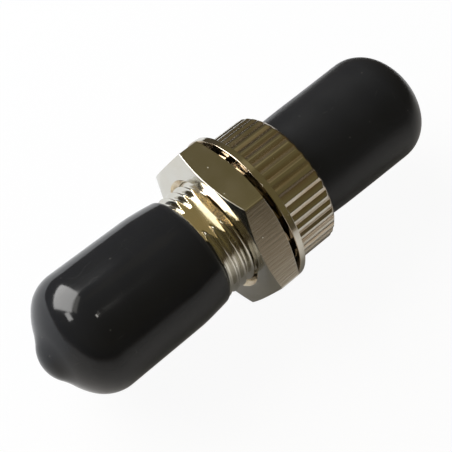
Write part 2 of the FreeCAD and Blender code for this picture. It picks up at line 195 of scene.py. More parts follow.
# Lobes round the cap, share, turn by the seed, and radians per metre along it
CAP_WAVES = [(2, 1.0, 1.0, 160), (3, 0.6, -1.0, -420), (5, 0.5, 2.3, 700)]
CAP_COLUMNS = 192
NOSE_ROWS, BLEND_ROWS, CROWN_ROWS, PLAIN_CROWN_ROWS = 22, 12, 10, 34
KNUCKLE_ROWS, SIDE_ROWS, FLOOR_ROWS, FLOOR_MIDDLE_ROWS = 20, 26, 12, 4
DRIP_RADIUS = 2.8 * MM
DRIP_BLEND = 6.0 * MM
DRIP_HEIGHT = 0.58 * MM
NOSE_SAG = np.array((0.0, -0.915, -0.404)) * 0.1 * MM
NOSE_SAG_REACH = 3.2 * MM
CAP_FLOOR_SWING = math.radians(65)

MERGE_DISTANCE = 0.0002 * MM
FLAT_HOLD = 0.03 * MM
SLACK = 0.005 * MM
SAME_ANGLE = 1e-6


# Shapes

def rounded_path(corners, radii, closed=True, steps=6):
    """Outline whose corners are arcs tangent to both sides.

    An arc begins radius times the tangent of half the turn before its corner and swings through the
    turn about a centre one radius to the inside. A point just before and just after it keeps the
    straight sides flat under smooth shading.
    """
    corners = np.asarray(corners, float)
    radii = np.asarray(radii, float)
    side = np.roll(corners, -1, 0) - corners
    length = np.hypot(side[:, 0], side[:, 1])
    ahead = side / length[:, None]
    behind = np.roll(ahead, 1, 0)
    cross = behind[:, 0] * ahead[:, 1] - behind[:, 1] * ahead[:, 0]
    turn = np.arctan2(cross, (behind * ahead).sum(1))
    reach = radii * np.abs(np.tan(turn / 2))
    begin = corners - behind * reach[:, None]
    inward = np.stack([-behind[:, 1], behind[:, 0]], 1) * np.sign(turn)[:, None]
    centre = begin + inward * radii[:, None]
    arm = begin - centre
    swing = turn[:, None] * np.linspace(0, 1, steps)
    arc_x = centre[:, :1] + arm[:, :1] * np.cos(swing) - arm[:, 1:] * np.sin(swing)
    arc_y = centre[:, 1:] + arm[:, :1] * np.sin(swing) + arm[:, 1:] * np.cos(swing)
    arc = np.stack([arc_x, arc_y], -1)
    free = np.clip(length - reach - np.roll(reach, -1), 0, None)
    hold = np.minimum(FLAT_HOLD, free / 3)
    before = begin - behind * np.roll(hold, 1)[:, None]
    after = arc[:, -1] + ahead * hold[:, None]
    block = np.concatenate([before[:, None], arc, after[:, None]], 1)
    if closed:
        path = block.reshape(-1, 2)
    else:
        middle = block[1:-1].reshape(-1, 2)
        path = np.vstack([corners[:1], block[0, -1:], middle, block[-1, :1], corners[-1:]])
    step = np.hypot(*np.diff(path, axis=0).T)
    return path[np.append(True, step > MERGE_DISTANCE)]


def turned(along, radius, angle):
    """Points of a turned form: a radius at a place along X, carried round the axis by an angle."""
    along, radius, angle = np.broadcast_arrays(along, radius, angle)
    return np.stack([along, -radius * np.sin(angle), radius * np.cos(angle)], -1)


def soft_ramp(value, low, high, firmness=14.0):
    """Ramp from 0 at low to 1 at high with rounded ends: the difference of two soft hinges."""
    share = (value - low) / (high - low)
    rise = np.logaddexp(0, firmness * share) - np.logaddexp(0, firmness * (share - 1))
    return rise / firmness


def smooth_step(value, low, high):
    """Share from 0 at low to 1 at high along a cubic with level ends."""
    share = np.clip((value - low) / (high - low), 0, 1)
    return share * share * (3 - 2 * share)


def soft_least(first, second, rounding=0.012 * MM):
    """The smaller of two radii, with the edge between them eased over the rounding."""
    return -rounding * np.logaddexp(-first / rounding, -second / rounding)


def grid_faces(rows, columns, close_rows, close_columns):
    """Four-sided faces between neighbouring rows and columns of a grid of points."""
    index = np.arange(rows * columns).reshape(rows, columns)
    if close_rows:
        index = np.vstack([index, index[:1]])
    if close_columns:
        index = np.hstack([index, index[:, :1]])
    return np.stack([index[:-1, :-1], index[:-1, 1:], index[1:, 1:], index[1:, :-1]], -1)


def keyway_angles(angle, radius, edge_angle):
    """Angles shifted so that the column at edge_angle lies on the keyway's straight side.

    The half angle of the side is the arc sine of half the width over the radius. Angles inside it
    shrink in proportion, and those outside are spread back to their own places at sixty degrees.
    """
    side = np.arcsin(np.minimum(KEYWAY_WIDTH / 2 / radius, KEYWAY_LARGEST_SINE))
    size = np.abs(angle)
    inside = size * side / edge_angle
    outside = side + (size - edge_angle) * (KEYWAY_SPREAD - side) / (KEYWAY_SPREAD - edge_angle)
    moved = np.where(size <= edge_angle, inside, np.where(size < KEYWAY_SPREAD, outside, size))
    return np.sign(angle) * moved


def keyway_faces(index, faces, first_row, last_row, angle, edge_angle):
    """Faces of a grid with a keyway: those between its sides are taken out, and walls put in.

    The two side walls are flat outlines down the edge columns from the inner row round the mouth to
    the outer row, and the end wall joins those two rows.
    """
    sides = np.flatnonzero(np.abs(np.abs(angle) - edge_angle) < SAME_ANGLE)
    left, right = sides[0], sides[-1]
    keep = np.ones(faces.shape[:2], bool)
    keep[first_row:last_row, left:right] = False
    walls = [index[first_row:last_row + 1, left].tolist(), index[first_row:last_row + 1, right].tolist()]
    low = index[first_row, left:right + 1]
    high = index[last_row, left:right + 1]
    end = np.stack([low[:-1], low[1:], high[1:], high[:-1]], -1)
    return faces[keep].tolist() + walls + end.tolist()


def make_piece(name, node, body, material, points, faces, crease=38):
    """Mesh from points and faces, with doubles merged and normals outwards, put in place of a solid."""
    mesh = bpy.data.meshes.new(name)
    mesh.from_pydata(points.reshape(-1, 3).tolist(), [], faces)
    shell = bmesh.new()
    shell.from_mesh(mesh)
    bmesh.ops.remove_doubles(shell, verts=shell.verts, dist=MERGE_DISTANCE)
    bmesh.ops.recalc_face_normals(shell, faces=shell.faces)
    shell.to_mesh(mesh)
    shell.free()
    mesh.shade_smooth()
    mesh.set_sharp_from_angle(angle=math.radians(crease))
    mesh.materials.append(material)
    piece = bpy.data.objects.new(name, mesh)
    bpy.context.collection.objects.link(piece)
    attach(piece, body)
    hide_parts(node)
    return piece


def lay_grime_wear_and_shade(piece, share_of):
    """Stores how far each point takes a local tint, by place, radius and angle: thin plating, dust, old
    polish and darkening in some places, painted shade on the lip's front face and the washer's ring.
    """
    mesh = piece.data
    place = np.empty(len(mesh.vertices) * 3, np.float32)
    mesh.vertices.foreach_get("co", place)
    place = place.reshape(-1, 3)
    radius = np.hypot(place[:, 1], place[:, 2])
    angle = np.arctan2(-place[:, 1], place[:, 2])
    share = np.clip(share_of(place[:, 0], radius, angle), 0, 1).astype(np.float32)
    store = mesh.attributes.new("grime_wear_and_shade", "FLOAT", "POINT")
    store.data.foreach_set("value", share)


def barrel_corners(mouth, inward, inner_end, shoulder):
    """Corners and rounds of a barrel from its inner seat, out of the socket's mouth, to its shoulder.

    inward is +1 or -1, the direction from the mouth into the body. The two corners that only mark the
    keyway's end have no round.
    """
    floor = mouth + inward * SOCKET_DEPTH
    seat = floor + inward * GUIDE_WALL
    keyway_end = mouth + inward * KEYWAY_DEPTH
    corners = [
        (inner_end, SEAT_RADIUS), (seat, SEAT_RADIUS), (seat, GUIDE_RADIUS), (floor, GUIDE_RADIUS),
        (floor, SOCKET_RADIUS), (keyway_end, SOCKET_RADIUS), (mouth, SOCKET_RADIUS),
        (mouth, BARREL_RADIUS), (keyway_end, BARREL_RADIUS), (shoulder, BARREL_RADIUS),
    ]
    radii = [0, 0, GUIDE_SEAT_ROUND, GUIDE_FLOOR_ROUND, 0, 0, MOUTH_ROUND, MOUTH_ROUND, 0, 0]
    return corners, radii


def row_at(path, along, radius):
    """Row of a path that lies at a given place and radius."""
    return int(np.argmin(np.hypot(path[:, 0] - along, path[:, 1] - radius)))


def thread_depth(along, angle):
    """Share of the thread's depth, 0 on a crest and 1 in a root, for a right-hand helix.

    The distance to the nearest crest, in pitches, is the place along X less the turn; a ramp runs from
    a sixteenth of a pitch, the crest's edge, to three eighths, the root's edge.
    """
    pitches = along / THREAD_PITCH - angle / FULL_TURN
    off_crest = np.abs(pitches - np.round(pitches))
    return soft_ramp(off_crest, CREST_EDGE, ROOT_EDGE)


def thread_radius(along, angle):
    """Radius of the thread: helix, eased by the lead chamfer, and cut by the D-flat.

    The flat at height h limits the radius to h over the cosine of the angle from the top.
    """
    helix = THREAD_RADIUS - (THREAD_RADIUS - THREAD_ROOT) * thread_depth(along, angle)
    lead = THREAD_RADIUS - THREAD_LEAD + (along - THREAD_FRONT)
    radius = soft_least(helix, lead)
    towards_top = np.maximum(np.cos(angle), FLAT_LEAST_COSINE)
    return soft_least(radius, FLAT_HEIGHT / towards_top, FLAT_EDGE_ROUND)


def threaded_shank(material):
    """Front half: thread with D-flat, spigot, and keyed barrel, as one closed loop of rows.

    Thread rows follow the helix: a row's place is its own station plus the pitch times the turn, held
    between the thread's two ends, so rows that run out of the thread fold into its end faces.
    """
    half = np.concatenate([
        np.linspace(0, KEYWAY_EDGE, KEYWAY_COLUMNS + 1)[1:],
        np.linspace(KEYWAY_EDGE, BEYOND_FLAT, FLAT_COLUMNS + 1)[1:],
        np.linspace(BEYOND_FLAT, math.pi, ROUND_COLUMNS + 1)[1:],
    ])
    angle = np.concatenate([-half[::-1], [0], half])
    station = np.arange(THREAD_FRONT - THREAD_PITCH, LAST_STATION, THREAD_PITCH / ROWS_PER_PITCH)
    along = np.clip(station[:, None] + THREAD_PITCH * angle / FULL_TURN, THREAD_FRONT, 0)
    thread = turned(along, thread_radius(along, angle), angle)

    spigot_end = shank_high.x
    mouth = shank_low.x
    barrel, barrel_rounds = barrel_corners(mouth, 1, spigot_end, THREAD_FRONT)
    corners = [(0, SPIGOT_RADIUS), (spigot_end, SPIGOT_RADIUS)] + barrel
    rounds = [0, SPIGOT_ROUND] + barrel_rounds
    path = rounded_path(corners, rounds, closed=False)
    plain_angle = keyway_angles(angle, path[:, 1:], KEYWAY_EDGE)
    plain = turned(path[:, :1], path[:, 1:], plain_angle)

    points = np.vstack([thread, plain])
    faces = grid_faces(len(points), len(angle), True, False)
    index = np.arange(points.shape[0] * points.shape[1]).reshape(points.shape[:2])
    keyway_end = mouth + KEYWAY_DEPTH
    first = len(thread) + row_at(path, keyway_end, SOCKET_RADIUS)
    last = len(thread) + row_at(path, keyway_end, BARREL_RADIUS)
    all_faces = keyway_faces(index, faces, first, last, angle, KEYWAY_EDGE)
    piece = make_piece("threaded_shank", "threaded_housing", "housing", material,
                       points, all_faces)

    def on_flat(along, radius, angle):
        height = radius * np.cos(angle)
        return smooth_step(height, FLAT_TINT_START, FLAT_TINT_FULL)

    lay_grime_wear_and_shade(piece, on_flat)


def knurl_radius(along, angle):
    """Radius of the knurl: ridges with straight grooves that fade out before the lip.

    The share of a pitch from the nearest groove's centre ramps from floor to ridge, and the rear edge
    is held under a chamfer line.
    """
    pitches = angle * KNURL_TEETH / FULL_TURN
    off_groove = np.abs(pitches - np.round(pitches))
    ridge = soft_ramp(off_groove, GROOVE_FLOOR_SHARE, GROOVE_MOUTH_SHARE, RIDGE_FIRMNESS)
    run_out = smooth_step(along, GROOVE_FADE_START, GROOVE_FADE_END)
    radius = KNURL_RADIUS - GROOVE_DEPTH * (1 - ridge) * run_out
    chamfer = KNURL_RADIUS - (along - (KNURL_REAR - KNURL_CHAMFER))
    return soft_least(radius, chamfer, KNURL_EDGE_ROUND)


def knurled_flange(material):
    """Rear half: lip, knurl and keyed barrel, as one closed loop of rows with shared tooth columns."""
    share = np.concatenate([GROOVE_COLUMNS, [0.5], 1 - GROOVE_COLUMNS[:0:-1]])
    groove = np.arange(-KNURL_TEETH // 2, KNURL_TEETH // 2)
    angle = ((groove[:, None] + share) * FULL_TURN / KNURL_TEETH).ravel()
    edge_angle = np.abs(angle)[np.argmin(np.abs(np.abs(angle) - KEYWAY_EDGE))]

    front, lip_rear, mouth = flange_low.x, flange_low.x + LIP_THICKNESS, flange_high.x
    bore_end = shank_high.x + SPIGOT_PLAY
    lip_corners = [(front, SPIGOT_RADIUS), (front, LIP_RADIUS), (lip_rear, LIP_RADIUS),
                   (lip_rear, KNURL_RADIUS + LIP_FOOT)]
    lip = rounded_path(lip_corners, [0, LIP_ROUND, LIP_ROUND, 0], closed=False, steps=8)
    lip_points = turned(lip[:, :1], lip[:, 1:], angle)

    beside_lip = lip_rear + np.linspace(0, LIP_ROWS_END, LIP_ROWS)
    between = np.linspace(lip_rear + BETWEEN_START, KNURL_REAR - BETWEEN_END, BETWEEN_ROWS)
    beside_rear = np.linspace(KNURL_REAR - REAR_ROWS_START, KNURL_REAR, REAR_ROWS)
    stations = np.concatenate([beside_lip, between, beside_rear])[:, None]
    knurl_points = turned(stations, knurl_radius(stations, angle), angle)

    barrel, barrel_rounds = barrel_corners(mouth, -1, bore_end, KNURL_REAR)
    barrel_path = rounded_path(barrel[::-1], barrel_rounds[::-1], closed=False)
    plain_angle = keyway_angles(angle, barrel_path[:, 1:], edge_angle)
    barrel_points = turned(barrel_path[:, :1], barrel_path[:, 1:], plain_angle)
    bore_points = turned(np.full((1, 1), bore_end), SPIGOT_RADIUS, angle)

    points = np.vstack([lip_points, knurl_points, barrel_points, bore_points])
    faces = grid_faces(len(points), len(angle), True, True)
    index = np.arange(points.shape[0] * points.shape[1]).reshape(points.shape[:2])
    keyway_end = mouth - KEYWAY_DEPTH
    skipped = len(lip_points) + len(knurl_points)
    first = skipped + row_at(barrel_path, keyway_end, BARREL_RADIUS)
    last = skipped + row_at(barrel_path, keyway_end, SOCKET_RADIUS)
    all_faces = keyway_faces(index, faces, first, last, angle, edge_angle)
    piece = make_piece("knurled_flange", "knurled_flange_housing", "housing", material,
                       points, all_faces)

    def in_grooves(along, radius, angle):
        on_knurl = (along > lip_rear + SLACK) & (along < KNURL_REAR - SLACK) & (radius > BARREL_RADIUS + MM)
        # On the knurl the tint grows towards the grooves' floors and in the corner just behind the lip
        depth = np.sqrt(np.clip((KNURL_RADIUS - radius) / GROOVE_DEPTH, 0, 1))
        under_lip = smooth_step(along, lip_rear + LIP_CORNER_DARKENING_REACH, lip_rear)
        # The lip's front face takes the full tint: painted shade that dims its reflection
        painted_lip_shade = along < front + LIP_FRONT_TINT
        return np.where(on_knurl, np.maximum(depth, under_lip), painted_lip_shade)

    lay_grime_wear_and_shade(piece, in_grooves)


def hexagon_radius(angle):
    """Radius of the nut's six sides, with the corners eased.

    It is half the width over the cosine of the angle from a flat's middle.
    """
    sixth = FULL_TURN / 6
    from_corner = (angle - NUT_CORNER_ANGLE) / sixth
    off_middle = (from_corner - np.floor(from_corner) - 0.5) * sixth
    nearest = NUT_FLAT_RADIUS / np.cos(off_middle)
    neighbour = NUT_FLAT_RADIUS / np.cos(sixth - np.abs(off_middle))
    return soft_least(nearest, neighbour, NUT_CORNER_ROUND)


def hexagon_nut(material):
    """Nut: each column runs out over the front face, down the corner cone, along the flat and back.

    The cone drops in proportion to how far the hexagon reaches past the face's circle, which makes
    the curved edges of a turned nut.
    """
    corner_half = np.radians(NUT_COLUMNS)
    corner = np.concatenate([-corner_half[:0:-1], corner_half[:-1]])
    angle = (NUT_CORNER_ANGLE + np.arange(6)[:, None] * FULL_TURN / 6 + corner).ravel()
    side = hexagon_radius(angle)
    corner_radius = NUT_FLAT_RADIUS / math.cos(FULL_TURN / 12)
    cone = NUT_CORNER_DROP / (corner_radius - NUT_FACE_RADIUS)
    drop = cone * (side - NUT_FACE_RADIUS)
    sink = NUT_BORE + NUT_COUNTERSINK
    ones = np.ones_like(angle)
    eased = 0.3 * NUT_EDGE
    half = [
        (ones * NUT_COUNTERSINK, NUT_BORE), (ones * NUT_SINK_ROUND, sink - NUT_SINK_ROUND),
        (0 * ones, sink), (0 * ones, sink + FLAT_HOLD), (0 * ones, NUT_FACE_RADIUS - NUT_EDGE),
        (0.1 * NUT_EDGE * ones, NUT_FACE_RADIUS),
        (drop - cone * eased, side - eased), (drop + 0.4 * NUT_EDGE, side - 0.25 * eased),
        (drop + NUT_EDGE, side), (drop + 2 * NUT_EDGE, side),
    ]
    depth = np.stack([row[0] for row in half])
    radius = np.stack([row[1] * ones for row in half])
    along = np.vstack([nut_low.x + depth, nut_high.x - depth[::-1]])
    points = turned(along, np.vstack([radius, radius[::-1]]), angle)
    faces = grid_faces(len(points), len(angle), True, True).reshape(-1, 4).tolist()
    piece = make_piece("hexagon_nut", "hex_nut", "nut", material, points, faces)

    def by_bore(along, radius, angle):
        return smooth_step(radius, sink + NUT_SINK_ROUND, sink - NUT_SINK_ROUND)

    lay_grime_wear_and_shade(piece, by_bore)


def toothed_washer(material):
    """Washer: a flat ring whose outer rows reach out to twisted teeth.

    A column inside a tooth runs out to the tip; one in a gap stops at the ring's edge. A tooth's point
    moves along X by its sideways distance times the twist's tangent, which grows from ring to tip.
    """
    pitch = FULL_TURN / WASHER_TEETH
    half_tooth = math.asin(WASHER_TOOTH_WIDTH / 2 / WASHER_TIP)
    offset = TOOTH_COLUMNS * half_tooth
    gap = GAP_COLUMNS * half_tooth
    within = np.concatenate([[-pitch / 2], -gap[::-1], offset, gap])
    tooth = np.abs(within) < half_tooth
    angle = (np.arange(WASHER_TEETH)[:, None] * pitch + within).ravel()
    from_middle = np.tile(within, WASHER_TEETH)
    on_tooth = np.tile(tooth, WASHER_TEETH)

    full = np.interp(WASHER_ROWS, [0, 1, 2], [WASHER_BORE, WASHER_RING, WASHER_TIP])[:, None]
    radius = np.where(on_tooth, full, np.minimum(full, WASHER_RING))
    half_share = np.interp(WASHER_ROWS, WASHER_EASED_ROWS, WASHER_EASED_SHARE)[:, None]
    half = half_share * WASHER_THICKNESS / 2
    twist = math.tan(WASHER_TWIST) * smooth_step(radius, WASHER_TWIST_START, WASHER_TWIST_FULL)
    middle = (washer_low.x + washer_high.x) / 2 + radius * np.sin(from_middle) * twist
    along = np.vstack([middle - half, (middle + half)[::-1]])
    points = turned(along, np.vstack([radius, radius[::-1]]), angle)
    faces = grid_faces(len(points), len(angle), True, True).reshape(-1, 4).tolist()
    piece = make_piece("toothed_washer", "lock_washer", "washer", material, points, faces)

    def at_root(along, radius, angle):
        # Grime and painted shade of the gap between nut and lip: full on the ring, fading out along the
        # teeth
        return smooth_step(radius, WASHER_GRIME_AND_SHADE_END, WASHER_RING)

    lay_grime_wear_and_shade(piece, at_root)


def split_sleeve(material):
    """Sleeve: a turned tube left open by a slit, each row ending at half the slit's width."""
    low, high = sleeve_low.x, sleeve_high.x
    corners = [(low, SLEEVE_INNER), (low, SLEEVE_OUTER), (high, SLEEVE_OUTER), (high, SLEEVE_INNER)]
    rounds = [SLEEVE_INNER_ROUND, SLEEVE_OUTER_ROUND, SLEEVE_OUTER_ROUND, SLEEVE_INNER_ROUND]
    path = rounded_path(corners, rounds)
    half = np.arcsin(SLEEVE_SLIT / 2 / path[:, 1:])
    angle = half + np.linspace(0, 1, SLEEVE_COLUMNS) * (FULL_TURN - 2 * half)
    points = turned(path[:, :1], path[:, 1:], angle)
    index = np.arange(points.shape[0] * points.shape[1]).reshape(points.shape[:2])
    faces = grid_faces(len(path), angle.shape[1], True, False).reshape(-1, 4).tolist()
    faces += [index[:, 0].tolist(), index[:, -1].tolist()]
    piece = make_piece("split_sleeve", "alignment_sleeve", "housing", material,
                       points, faces)

    def inside(along, radius, angle):
        # The tone darkens towards the bore
        return SLEEVE_INNER_DARKENING * smooth_step(radius, SLEEVE_OUTER, SLEEVE_INNER)

    lay_grime_wear_and_shade(piece, inside)


def bayonet_lug(name, node, material):
    """Lug: a short pin turned about a line across the barrel, with an eased outer end."""
    low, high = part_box(node)
    middle = (low + high) / 2
    outward = math.copysign(1, middle.y)
    inner, outer = sorted((abs(low.y), abs(high.y)))
    corners = [(inner, 0), (inner, LUG_RADIUS), (outer, LUG_RADIUS), (outer, 0)]
    path = rounded_path(corners, [0, LUG_FOOT_ROUND, LUG_ROUND, 0], closed=False)
    angle = np.linspace(0, FULL_TURN, LUG_COLUMNS + 1)[:-1]
    out = path[:, :1] + 0 * angle
    around = path[:, 1:] * np.cos(angle)
    up = path[:, 1:] * np.sin(angle)
    points = np.stack([middle.x + around, outward * out, middle.z + up], -1)
    faces = grid_faces(len(path), len(angle), False, True).reshape(-1, 4).tolist()
    piece = make_piece(name, node, "housing", material, points, faces)

    def at_foot(along, radius, angle):
        # The tone darkens at the foot, where the lug stands on the barrel
        return LUG_FOOT_DARKENING * smooth_step(radius, BARREL_RADIUS + LUG_FOOT_DARKENING_REACH, BARREL_RADIUS)

    lay_grime_wear_and_shade(piece, at_foot)


def arc(centre_along, centre_radius, radius, start, end, count):
    """Points of an arc in a cap's half section, by its centre, radius and two angles from the axis."""
    swing = np.linspace(start, end, count)
    return np.stack([centre_along + radius * np.cos(swing), centre_radius + radius * np.sin(swing)], -1)


def cap_section(length, wall, knuckle, drip):
    """Half section of a dipped cap, from the tip on the axis round the rim to its inner floor.

    The end is a crown arc on the axis, joined by a knuckle arc to the straight side. Where the dip
    left a drop, a small nose arc stands on the crown through a hollow blend arc that touches both.
    """
    side_radius = CAP_BORE + wall
    crown = side_radius + CAP_CROWN_EXTRA
    crown_along = length - crown - (DRIP_HEIGHT if drip else 0)
    knuckle_radius = side_radius - knuckle
    knuckle_along = crown_along + math.sqrt((crown - knuckle) ** 2 - knuckle_radius ** 2)
    side = math.pi / 2
    crown_edge = math.atan2(knuckle_radius, knuckle_along - crown_along)
    if drip:
        nose_along = length - DRIP_RADIUS
        gap = nose_along - crown_along
        to_crown, to_nose = crown + DRIP_BLEND, DRIP_RADIUS + DRIP_BLEND
        blend_along = (gap ** 2 + to_crown ** 2 - to_nose ** 2) / (2 * gap)
        blend_radius = math.sqrt(to_crown ** 2 - blend_along ** 2)
        blend_on_crown = math.atan2(blend_radius, blend_along)
        blend_on_nose = math.atan2(blend_radius, blend_along - gap)
        end = [
            arc(nose_along, 0, DRIP_RADIUS, 0, blend_on_nose, NOSE_ROWS),
            arc(crown_along + blend_along, blend_radius, DRIP_BLEND,
                blend_on_nose + math.pi, blend_on_crown + math.pi, BLEND_ROWS)[1:],
            arc(crown_along, 0, crown, blend_on_crown, crown_edge, CROWN_ROWS)[1:],
        ]
    else:
        end = [arc(crown_along, 0, crown, 0, crown_edge, PLAIN_CROWN_ROWS)]
    half_way = knuckle_along / 2
    rim_corners = [(half_way, side_radius), (0, side_radius), (0, CAP_BORE), (half_way, CAP_BORE)]
    rim = rounded_path(rim_corners, [0, CAP_RIM_ROUND, wall / 5, 0], closed=False, steps=8)
    side_along = np.linspace(knuckle_along, CAP_RIM_ROWS_END, SIDE_ROWS)
    straight = np.stack([side_along, np.full(SIDE_ROWS, side_radius)], -1)
    floor = arc(knuckle_along, knuckle_radius, knuckle - wall, side, side - CAP_FLOOR_SWING, FLOOR_ROWS)
    floor_radius = np.linspace(floor[-1, 1], 0, FLOOR_MIDDLE_ROWS)
    middle = np.stack([np.full(FLOOR_MIDDLE_ROWS, floor[-1, 0]), floor_radius], -1)[1:]
    shoulder = arc(knuckle_along, knuckle_radius, knuckle, crown_edge, side, KNUCKLE_ROWS)
    return np.vstack(end + [shoulder[1:], straight[1:], rim[2:-1], floor, middle])


def dust_cap(name, node, body, material, rim, tip, wall, knuckle, rim_draw, drip, seed):
    """Dipped cap: its half section turned round the axis, with the slight waves that dipping leaves.

    The radius swells and dips by a few hundredths of a millimetre in slow waves round and along the
    cap, which fade out at the rim and on the axis. The side flares slightly towards the closed end
    and draws in at the rim. A drop's nose hangs a little to one side.
    """
    length = abs(tip - rim)
    towards = math.copysign(1, tip - rim)
    section = cap_section(length, wall, knuckle, drip)
    angle = np.linspace(0, FULL_TURN, CAP_COLUMNS + 1)[:-1]
    distance, radius = section[:, :1], section[:, 1:]
    outside = np.arange(len(section))[:, None] < np.argmin(section[:, 0])
    waves = sum(
        share * np.sin(lobes * angle + turn * seed + rate * distance)
        for lobes, share, turn, rate in CAP_WAVES
    )
    off_axis = smooth_step(radius, 0, CAP_CALM_RADIUS)
    off_rim = smooth_step(distance, CAP_CALM_RIM, CAP_CALM_END)
    swell = CAP_WAVE_HEIGHT * (waves - CAP_WAVE_LEVEL) * off_axis * off_rim * outside
    flare = CAP_FLARE * (np.clip(distance / (CAP_FLARE_END * length), 0, 1) - CAP_FLARE_MIDDLE) * radius
    draw = rim_draw * np.clip(1 - distance / CAP_RIM_REACH, 0, 1) ** CAP_RIM_CURVE
    swell = swell + np.where(outside, flare - draw, 0)
    along = rim + towards * distance
    points = turned(along, radius + swell, angle)
    if drip:
        lean = smooth_step(distance, length - NOSE_SAG_REACH, length) * outside
        points = points + lean[..., None] * NOSE_SAG
    faces = grid_faces(len(section), len(angle), False, True).reshape(-1, 4).tolist()
    piece = make_piece(name, node, body, material, points, faces, CAP_CREASE)

    def by_rim(along, radius, angle):
        return smooth_step(np.abs(along - rim), CAP_RIM_GRIME, 0)

    lay_grime_wear_and_shade(piece, by_rim)


# Finishes

def set_inputs(tree, node, values):
    """Sets a node's inputs to numbers, or links them to sockets."""
    for key, value in values.items():
        if isinstance(value, bpy.types.NodeSocket):
            tree.links.new(value, node.inputs[key])
        else:
            node.inputs[key].default_value = value


def add_node(tree, kind, values=None, **settings):
    """Shader node with its settings and inputs."""
    made = tree.nodes.new("ShaderNode" + kind)
    for key, value in settings.items():
        setattr(made, key, value)
    set_inputs(tree, made, values or {})
    return made


def math_of(tree, operation, first, second=0.0, third=0.0):
    """Result of one arithmetic step on numbers or sockets."""
    return add_node(tree, "Math", {0: first, 1: second, 2: third}, operation=operation).outputs[0]


def ramp_of(tree, value, low, high, start=0.0, end=1.0):
    """Value carried from one range to another, held at the ends."""
    inputs = {"Value": value, "From Min": low, "From Max": high, "To Min": start, "To Max": end}
    return add_node(tree, "MapRange", inputs).outputs["Result"]


def blend_of(tree, share, first, second):
    """Colour between two colours."""
    return add_node(tree, "Mix", {0: share, 6: first, 7: second}, data_type="RGBA").outputs[2]


def noise_of(tree, place, scale, detail=2.0, roughness=0.5):
    """Cloudy value from 0 to 1 at a place."""
    inputs = {"Vector": place, "Scale": scale, "Detail": detail, "Roughness": roughness}
    return add_node(tree, "TexNoise", inputs).outputs[0]


def effect_group(name, output, *numbers):
    """Empty node group with a place and some numbers as inputs, and one number as its output."""
    tree = bpy.data.node_groups.new(name, "ShaderNodeTree")
    tree.interface.new_socket("Place", in_out="INPUT", socket_type="NodeSocketVector")
    for label in numbers:
        tree.interface.new_socket(label, in_out="INPUT", socket_type="NodeSocketFloat")
    tree.interface.new_socket(output, in_out="OUTPUT", socket_type="NodeSocketFloat")
    return tree, tree.nodes.new("NodeGroupInput").outputs, tree.nodes.new("NodeGroupOutput")


def use_group(tree, group, values):
    """Group placed in a material, with its inputs set or linked."""
    return add_node(tree, "Group", values, node_tree=group).outputs[0]


STREAK_SQUEEZE = (0.06, 1, 1)
ACROSS_AXIS = (0, 1, 1)
PATCH_RANGE = (0.3, 0.7)
SPECK_RIM, SPECK_CORE = 0.22, 0.08
NOISE_MIDDLE = 0.5
BREAK_SCALE = 0.9
BREAK_RANGE = (0.52, 0.62)


def grinding_streaks():
    """Fine lines along X: noise whose X is squeezed."""
    tree, given, result = effect_group("grinding_streaks", "Streaks", "Fineness")
    squeezed = add_node(tree, "VectorMath", {0: given["Place"], 1: STREAK_SQUEEZE}, operation="MULTIPLY")
    streaks = noise_of(tree, squeezed.outputs[0], given["Fineness"], detail=3.0, roughness=0.6)
    tree.links.new(streaks, result.inputs[0])
    return tree


def turning_rings():
    """Rings round the axis: noise of the distance from the axis alone."""
    tree, given, result = effect_group("turning_rings", "Rings", "Fineness")
    across = add_node(tree, "VectorMath", {0: given["Place"], 1: ACROSS_AXIS}, operation="MULTIPLY")
    distance = add_node(tree, "VectorMath", {0: across.outputs[0]}, operation="LENGTH").outputs["Value"]
    spot = add_node(tree, "CombineXYZ", {"X": distance}).outputs[0]
    rings = noise_of(tree, spot, given["Fineness"], detail=3.0, roughness=0.65)
    tree.links.new(rings, result.inputs[0])
    return tree


def plating_mottle():
    """Slow patches of tone: broad noise with finer noise on it."""
    tree, given, result = effect_group("plating_mottle", "Mottle", "Fineness")
    broad = noise_of(tree, given["Place"], given["Fineness"], detail=4.0, roughness=0.6)
    tree.links.new(ramp_of(tree, broad, *PATCH_RANGE), result.inputs[0])
    return tree


def dust_specks():
    """Sparse small dots: cells whose random value is below the share, near to their own point."""
    tree, given, result = effect_group("dust_specks", "Specks", "Fineness", "Share")
    cells = add_node(tree, "TexVoronoi", {"Vector": given["Place"], "Scale": given["Fineness"]})
    chance = add_node(tree, "SeparateColor", {0: cells.outputs["Color"]}).outputs[0]
    rare = math_of(tree, "LESS_THAN", chance, given["Share"])
    dot = ramp_of(tree, cells.outputs["Distance"], SPECK_RIM, SPECK_CORE)
    tree.links.new(math_of(tree, "MULTIPLY", rare, dot), result.inputs[0])
    return tree


def hairline_scratches():
    """Thin wandering lines: where a slow noise passes its middle value, broken up by a second noise."""
    tree, given, result = effect_group("hairline_scratches", "Lines", "Fineness", "Width")
    slow = noise_of(tree, given["Place"], given["Fineness"], detail=1.0, roughness=0.4)
    off = math_of(tree, "ABSOLUTE", math_of(tree, "SUBTRACT", slow, NOISE_MIDDLE))
    line = math_of(tree, "LESS_THAN", off, given["Width"])
    breaks = noise_of(tree, given["Place"], BREAK_SCALE)
    parts = ramp_of(tree, breaks, *BREAK_RANGE)
    tree.links.new(math_of(tree, "MULTIPLY", line, parts), result.inputs[0])
    return tree


STREAKS = grinding_streaks()
RINGS = turning_rings()
MOTTLE = plating_mottle()
SPECKS = dust_specks()
HAIRLINES = hairline_scratches()


